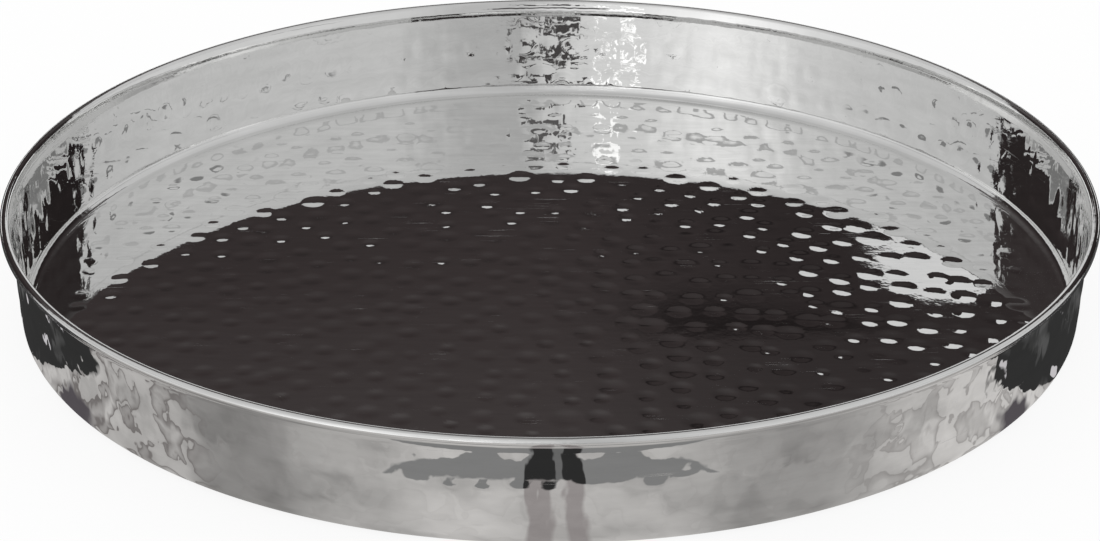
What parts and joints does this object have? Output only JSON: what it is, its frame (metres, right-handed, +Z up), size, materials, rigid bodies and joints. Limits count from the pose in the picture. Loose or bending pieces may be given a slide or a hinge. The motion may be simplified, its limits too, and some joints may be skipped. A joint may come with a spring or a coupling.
{
  "type": "candle tray",
  "caption": "Low round candle tray of hammered, mirror-polished steel with a slightly leaning wall and a smooth rim rolled over a wire; candles stand on its floor.",
  "frame": {"origin": "centre of the tray's flat underside, on the surface that it stands on", "axes": "+Z up along the tray's turning axis, X and Y across the tray; the picture looks along +Y"},
  "size_m": [0.3, 0.3, 0.031],
  "materials": {
    "polished_steel": "mirror-polished stainless steel, hammered on the floor and wall, smooth at the corner and rim",
    "drawn_steel": "drawn steel wire, satin"
  },
  "bodies": {
    "root": {"tray_pan": "polished_steel", "rim_wire": "drawn_steel"}
  },
  "joints": []
}
